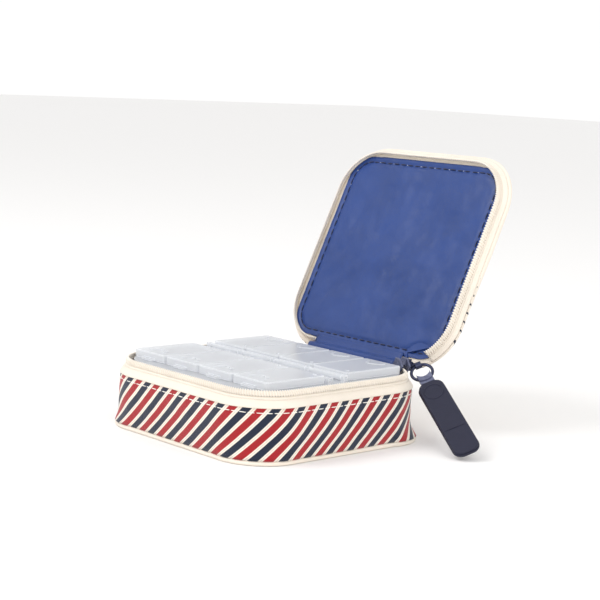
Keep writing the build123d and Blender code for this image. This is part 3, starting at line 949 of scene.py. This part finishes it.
lid_binding = band(
    "lid_binding", bead_section(RIM_INSET, RIM_Z, RIM_RADIUS), stir=rim_stir, place=open_lid
)
dress(lid_binding, "lid", TAPE, "cream_tape", "lid_piping")

# %% [markdown]
# The lining is pulled to the edge by its quilting stitches and stays loose
# in the middle, so it has a tuck at each stitch near the edge and broad soft
# wrinkles elsewhere. Both are heights added to a flat sheet.

# %% Lid lining
LINING_SHAPE = inner_shape(5.0 * MM, 13 * MM)
LINING_FACE = MATING + 3.2 * MM
STITCH_LINE = 2.7 * MM
QUILT_PITCH = 4.6 * MM
slider_low, slider_high = (Vector(c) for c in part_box("zip_slider"))
SLIDER_SPOT = (slider_low + slider_high) / 2


def slider_room(x, y):
    """1 where the shut lid needs a hollow for the parked slider, 0 away from it."""
    far = math.hypot(x - SLIDER_SPOT.x, y - SLIDER_SPOT.y)
    share = unit((9.0 * MM - far) / (3 * MM))
    return share * share * (3 - 2 * share)


def lining_rise(x, y):
    edge = nearest_edge(x, y, LINING_SHAPE)
    across = cloud(x / 0.016, y / 0.03, 2.0)
    crease = cloud(x / 0.006 + y / 0.02, y / 0.009, 7.0)
    tuck = cloud(x / 0.0022, y / 0.0022, 4.0)
    loose = unit((edge - 3 * MM) / (12 * MM))
    groove = math.exp(-(((edge - STITCH_LINE) / (0.9 * MM)) ** 2))
    near = math.exp(-(((edge - STITCH_LINE) / (3.0 * MM)) ** 2))
    slack = cloud((x + y) / 0.011, (x - y) / 0.045, 15.0)
    down = loose * (0.6 * across + 0.35 * crease + 0.65 * slack)
    down += 0.4 * near * tuck - 0.5 * groove
    return LINING_FACE - (max(-0.55, min(0.25, down)) - 1.6 * slider_room(x, y)) * MM


lining = panel("lid_lining_cloth", LINING_SHAPE, 48, lining_rise, open_lid)
dress(lining, "lid", LINING, "blue_lining", "lid_lining")


def lining_stitches(name, offset, half_length, radius, pitch):
    places = []
    around = 4 * (LINING_SHAPE[0] + LINING_SHAPE[1]) + 2 * math.pi * LINING_SHAPE[2]
    count = round(around / pitch)
    for i in range(count):
        spot, out = walk(around * (i + offset) / count, *LINING_SHAPE)
        point = spot - out * STITCH_LINE
        point.z = lining_rise(point.x, point.y) - 0.1 * MM
        places.append((point, out.cross(-UP), -UP))
    return stitch_row(name, places, half_length, radius, open_lid)


quilting = lining_stitches("lid_quilting", 0.0, 1.7 * MM, 0.3 * MM, QUILT_PITCH)
dress(quilting, "lid", DARK_THREAD, "blue_lining")
knots = lining_stitches("lid_quilting_knots", 0.5, 0.25 * MM, 0.11 * MM, 2 * QUILT_PITCH)
dress(knots, "lid", THREAD, "cream_tape")

# %% [markdown]
# Between the lining and the zip, the inside of the lid shows the back of the
# tape: a plain cream strip that closes the gap all the way round. Like the
# lining, it gives way where the parked slider needs room in the shut lid.

# %% Inner strip of the lid
STRIP_COURSE = ((0.9, 3.9), (3.0, 3.85), (5.6, 3.9), (5.6, 4.2), (0.9, 4.5))  # inset, height, in mm


def strip_stir(s, inset, height):
    spot, out = outline(s)
    point = spot - out * inset
    return 0, 1.5 * MM * slider_room(point.x, point.y)


inner_strip = band(
    "lid_inner_strip",
    [(inset * MM, MATING + height * MM) for inset, height in STRIP_COURSE],
    stir=strip_stir, place=open_lid,
)
dress(inner_strip, "lid", TAPE, "cream_tape")

# %% [markdown]
# The padded outer panel is a soft crown over foam. Its edge turns down and
# is caught in the binding. One closed form stands for the cloth and the foam
# under it.

# %% Padded lid
COVER_LOW = MATING + 5.4 * MM


def pad_rise(x, y):
    edge = max(0.0, nearest_edge(x, y) + 0.4 * MM)
    round_over = math.sqrt(1 - (1 - unit(edge / (2.6 * MM))) ** 2)
    crown = unit(edge / (45 * MM))
    wave = cloud(x / 0.03, y / 0.03, 12.0)
    lift = round_over * (2.3 + 0.5 * math.sin(crown * math.pi / 2)) + 0.18 * wave * round_over
    return COVER_LOW + lift * MM


pad = panel("lid_pad", inner_shape(-0.4 * MM), 60, pad_rise, open_lid)
thicken(pad, "pad thickness", 0.7 * MM, -1)
dress(pad, "lid", PINSTRIPED, "lid_cloth", "lid_cover", "lid_foam")

# %% [markdown]
# ## The hinge fabric
#
# On the hinge side there is no zip: one strip of blue nylon inside and one strip of striped cloth
# outside join base and lid. They bend when the lid moves, but here they are made once, in the open
# shape, and tied to neither body.

# %% Hinge strips


def hinge_strip(name, course, thickness, half_width):
    """course is a list of (y, z) points across the fold, at rest."""
    points, faces, cloth = [], [], []
    columns = round(2 * half_width / (2 * MM))
    travel = [0.0]
    for a, b in zip(course, course[1:]):
        travel.append(travel[-1] + math.dist(a, b))
    for i in range(columns + 1):
        x = half_width - 2 * half_width * i / columns
        for j, (y, z) in enumerate(course):
            wave = cloud(x / 0.012, j * 0.4, 30.0) * 0.25 * MM
            wave *= math.sin(math.pi * j / (len(course) - 1))
            points.append(Vector((x, y + wave, z + wave)))
    rows = len(course)
    for i in range(columns):
        for j in range(rows - 1):
            a = i * rows + j
            faces.append((a, a + 1, a + rows + 1, a + rows))
            u0, u1 = (2 * half_width * k / columns for k in (i, i + 1))
            v0, v1 = travel[j], travel[j + 1]
            cloth += [(u0, v0), (u0, v1), (u1, v1), (u1, v0)]
    piece = add_piece(name, points, faces, cloth, turn_out=False)
    thicken(piece, "cloth thickness", thickness, 0)
    return piece


def bend_course(points, steps=24):
    """A smooth line through a few points, by cubic blending of its runs."""
    spline = []
    spots = [Vector((0, *p)) for p in points]
    spots = [spots[0] * 2 - spots[1]] + spots + [spots[-1] * 2 - spots[-2]]
    runs = len(points) - 1
    for r in range(runs):
        p0, p1, p2, p3 = spots[r : r + 4]
        for k in range(steps // runs + (r == runs - 1)):
            t = k / (steps // runs)
            q = (
                p1 * 2
                + (p2 - p0) * t
                + (p0 * 2 - p1 * 5 + p2 * 4 - p3) * t**2
                + (p1 * 3 - p0 - p2 * 3 + p3) * t**3
            ) / 2
            spline.append((q.y, q.z))
    return spline


def on_lid(inset, height):
    """A point of the shut lid's back edge, turned open, as (y, z)."""
    spot = open_lid @ Vector((0, HALF_Y - inset, MATING + height))
    return spot.y, spot.z


inner_course = bend_course(
    [(HALF_Y - 1.6 * MM, WALL_TOP - 3 * MM), (HALF_Y - 1.5 * MM, WALL_TOP + 3 * MM),
     (HALF_Y - 0.5 * MM, MATING + 0.6 * MM), on_lid(2.2 * MM, 2.4 * MM), on_lid(6.0 * MM, 3.0 * MM)]
)
outer_course = bend_course(
    [(HALF_Y - 0.2 * MM, WALL_TOP - 0.5 * MM), (HALF_Y + 0.1 * MM, WALL_TOP + 3 * MM),
     (HALF_Y + 0.7 * MM, MATING - 0.9 * MM), on_lid(0.3 * MM, 2.6 * MM), on_lid(0.3 * MM, 5.4 * MM)]
)
STRIP_HALF = ZIP_END + 0.6 * MM
LINING_NODES = ("base_hinge_lining", "lid_hinge_lining")
FLAP_NODES = ("base_hinge_flap", "lid_hinge_flap")
for name, course, finish, slot_name, nodes in (
    ("hinge_lining_strip", inner_course, LINING, "blue_lining", LINING_NODES),
    ("hinge_cloth_strip", outer_course, STRIPED, "striped_cloth", FLAP_NODES),
):
    strip = hinge_strip(name, course, 0.5 * MM, STRIP_HALF)
    strip.data.materials.append(finish)
    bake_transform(strip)
    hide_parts(*nodes)

# %% [markdown]
# ## Hard parts
#
# The tray, its lids and the zip hardware keep their CAD shapes. Each only
# gets its finish, put into the material slots that came with it.

# %% Finishes for CAD parts
node_finish = {
    "tray": FROSTED, "zip_slider": SLIDER_ENAMEL, "slider_bridge": ENAMEL, "puller_bail": ENAMEL,
    "pull_ring": ENAMEL, "tab_eyelet": SLIDER_ENAMEL, "base_lining": LINING, "bottom_board": BOARD,
    "lid_board": LINING,
}
for name, node in frame["nodes"].items():
    finish = FROSTED if name.startswith("pill_lid") else node_finish.get(name)
    if finish:
        for index in range(len(node.data.materials)):
            node.data.materials[index] = finish

# %% [markdown]
# The zip slider is two six-sided plates with a post between them, parked at
# the end of the zip. Its plates have a chamfered edge that catches the light.
# The fabric there is slack, so the slider sits a little turned.

# %% Zip slider
SLIDER_TURN = math.radians(12)
SLIDER_SHIFT = 0.3 * MM
SLIDER_OUT = Vector((math.sin(SLIDER_TURN), math.cos(SLIDER_TURN), 0))
slider_place = Matrix((SLIDER_OUT.cross(UP), UP, SLIDER_OUT)).transposed().to_4x4()
slider_place = Matrix.Translation(SLIDER_SPOT + SLIDER_OUT * SLIDER_SHIFT) @ slider_place

# These are in millimetres, across the slider, along it and off its middle.
PLATE = ((-4.1, 0), (-1.9, -3.5), (1.9, -3.5), (4.1, 0), (1.9, 3.4), (-1.9, 3.4))
PLATE_INNER, PLATE_OUTER, CHAMFER = 1.5, 2.4, 0.86
POST = ((-1.5, 0.2), (1.5, 0.2), (1.5, 2.6), (-1.5, 2.6))
POST_REACH = 1.6
BOX_FACES = ((0, 1, 5, 4), (1, 2, 6, 5), (2, 3, 7, 6), (3, 0, 4, 7), (3, 2, 1, 0), (4, 5, 6, 7))


def slider_plate(points, faces, low, high):
    """Adds a chamfered six-sided plate, lying between two heights off its middle."""
    base = len(points)
    levels = (
        (low, CHAMFER), (low * 0.7 + high * 0.3, 1), (low * 0.3 + high * 0.7, 1), (high, CHAMFER),
    )
    for height, shrink in levels:
        points += [Vector((x * shrink * MM, y * shrink * MM, height * MM)) for x, y in PLATE]
    faces += tube_faces(base, len(levels), len(PLATE))


slider_points, slider_faces = [], []
slider_plate(slider_points, slider_faces, -PLATE_OUTER, -PLATE_INNER)
slider_plate(slider_points, slider_faces, PLATE_INNER, PLATE_OUTER)
base_count = len(slider_points)
slider_points += [Vector((x, y, z)) * MM for z in (-POST_REACH, POST_REACH) for x, y in POST]
slider_faces += [tuple(base_count + k for k in corners) for corners in BOX_FACES]
slider_mesh = add_piece("slider_plates", slider_points, slider_faces, place=slider_place)
for face in slider_mesh.data.polygons:
    face.use_smooth = False
softened = slider_mesh.modifiers.new("soft edges", "BEVEL")
softened.width, softened.segments = 0.15 * MM, 2
dress(slider_mesh, "slider", SLIDER_ENAMEL, "dark_metal", "zip_slider")

# %% [markdown]
# The pull tab is two layers of rubber bonded together, with rounded edges, a
# thin line across it and a plain ring embossed near the metal one. It is
# modelled flat and then laid where the CAD tab is.

# %% Pull tab
ring_joint, swing_joint = joints["tab_swing"], joints["ring_swing"]
TAB_NORMAL = Vector(ring_joint["axis"]).normalized()
TAB_ACROSS = -Vector(swing_joint["axis"]).normalized()
TAB_WAY = TAB_ACROSS.cross(TAB_NORMAL).normalized()
RING_CENTRE = Vector(ring_joint["pos_m"])
tab_place = Matrix((TAB_WAY, TAB_ACROSS, TAB_NORMAL)).transposed().to_4x4()
tab_place = Matrix.Translation(RING_CENTRE) @ tab_place
TAB_START, TAB_LENGTH, TAB_WIDTH, TAB_ROUND = 7.45 * MM, 46 * MM, 12.2 * MM, 4.2 * MM


def tab_outline(inset, per_corner=8):
    half_l, half_w = TAB_LENGTH / 2 - inset, TAB_WIDTH / 2 - inset
    radius = TAB_ROUND - inset
    ring = []
    for corner, (sx, sy) in enumerate(((1, 1), (-1, 1), (-1, -1), (1, -1))):
        for k in range(per_corner + 1):
            angle = math.radians(90 * corner + 90 * k / per_corner)
            ring.append((
                TAB_START + TAB_LENGTH / 2 + sx * (half_l - radius) + radius * math.cos(angle),
                sy * (half_w - radius) + radius * math.sin(angle),
            ))
    return ring


def tab_layer(name, low, high, inset, soften):
    steps = 5
    points, rows = [], []
    for end, height in ((-1, low), (1, high)):
        for k in range(steps + 1):
            angle = math.pi / 2 * (k / steps if end > 0 else 1 - k / steps)
            rise = height - end * soften * (1 - math.sin(angle))
            rows.append((inset + soften * (1 - math.cos(angle)), rise))
    for shrink, height in rows:
        points += [Vector((x, y, height)) for x, y in tab_outline(shrink)]
    faces = tube_faces(0, len(rows), len(tab_outline(0)))
    piece = add_piece(name, points, faces, place=tab_place)
    for face in piece.data.polygons:
        face.use_smooth = len(face.vertices) == 4
    return piece


tab_back = tab_layer("tab_back_layer", -1.3 * MM, 0.1 * MM, 0.0, 0.5 * MM)
dress(tab_back, "tab", RUBBER, "navy_rubber", "pull_tab")
tab_front = tab_layer("tab_front_layer", 0.1 * MM, 1.25 * MM, 0.35 * MM, 0.4 * MM)
dress(tab_front, "tab", RUBBER, "navy_rubber")

# %% Ring and line on the tab


def flat_ring(name, middle, radius, wire):
    points, faces = [], []
    around, sides = 40, 8
    for i, way in enumerate(circle(around)):
        out = Vector((*way, 0))
        for k, (cos, sin) in enumerate(circle(sides)):
            spot = middle + out * (radius + wire * cos)
            points.append(spot + Vector((0, 0, 0.5 * wire * sin)))
            a, b = i * sides + k, i * sides + (k + 1) % sides
            c, d = ((i + 1) % around) * sides + k, ((i + 1) % around) * sides + (k + 1) % sides
            faces.append((a, c, d, b))
    return add_piece(name, points, faces, place=tab_place)


ring_middle = Vector((TAB_START + 6.9 * MM, 0, 1.25 * MM))
emboss = flat_ring("tab_round_emboss", ring_middle, 4.2 * MM, 0.4 * MM)
dress(emboss, "tab", RUBBER, "navy_rubber")
line_x = TAB_START + TAB_LENGTH * 0.67
pressed = stitch_row(
    "tab_pressed_line",
    [(Vector((line_x, 0, 1.22 * MM)), Vector((0, 1, 0)), UP)],
    5.3 * MM, 0.22 * MM, tab_place,
)
dress(pressed, "tab", RUBBER, "navy_rubber")

# %% [markdown]
# ## Stage, light and camera
#
# A white floor and a bright, even sky give soft product light. One large
# lamp above and in front adds a gentle shadow under the case, and a second
# one from the side gives the plastic lids bright edges.

# %% Floor and light
floor_mesh = bpy.data.meshes.new("floor")
REACH = 6.0
floor_corners = [(-REACH, -REACH, 0), (REACH, -REACH, 0), (REACH, REACH, 0), (-REACH, REACH, 0)]
floor_mesh.from_pydata(floor_corners, [], [(0, 1, 2, 3)])
floor = bpy.data.objects.new("floor", floor_mesh)
bpy.context.collection.objects.link(floor)
paper = Finish("white paper", 0.9)
paper.shader.inputs["Base Color"].default_value = (0.97, 0.965, 0.96, 1)
floor_mesh.materials.append(paper.material)

world = bpy.data.worlds.new("studio")
bpy.context.scene.world = world
bpy.context.scene.view_settings.view_transform = "Standard"
world.use_nodes = True
sky = world.node_tree.nodes["Background"]
sky.inputs["Color"].default_value = (1.0, 0.995, 0.99, 1)
seen = add_node(world.node_tree, "LightPath")
link(
    math_node(world.node_tree, "MULTIPLY_ADD", seen.outputs["Is Camera Ray"], 0.1, 0.92),
    sky.inputs["Strength"],
)


def softbox(name, place, aim, size, power):
    lamp = bpy.data.lights.new(name, "AREA")
    lamp.shape, lamp.size, lamp.energy = "DISK", size, power
    thing = bpy.data.objects.new(name, lamp)
    thing.location = place
    thing.rotation_euler = (Vector(aim) - Vector(place)).to_track_quat("-Z", "Y").to_euler()
    bpy.context.collection.objects.link(thing)


softbox("key", (-0.35, -0.75, 1.05), (0, 0, 0.03), 0.7, 5.2)
softbox("side", (0.95, -0.35, 0.55), (0, 0, 0.05), 0.5, 2.2)

# %% [markdown]
# The camera looks a little down on the front right corner from three
# quarters of a metre, through a long lens, and is tipped by under three
# degrees, as a hand-held one would be.

# %% Camera
camera = bpy.data.cameras.new("camera")
camera.lens = 95.3
camera_object = bpy.data.objects.new("camera", camera)
bpy.context.collection.objects.link(camera_object)
place, target = Vector((0.5208, -0.4627, 0.1584)), Vector((-0.0219, 0.0386, 0.0538))
TIP = math.radians(2.79)
turn = (target - place).to_track_quat("-Z", "Y") @ Quaternion((0, 0, 1), TIP)
camera_object.location = place
camera_object.rotation_euler = turn.to_euler()
bpy.context.scene.camera = camera_object
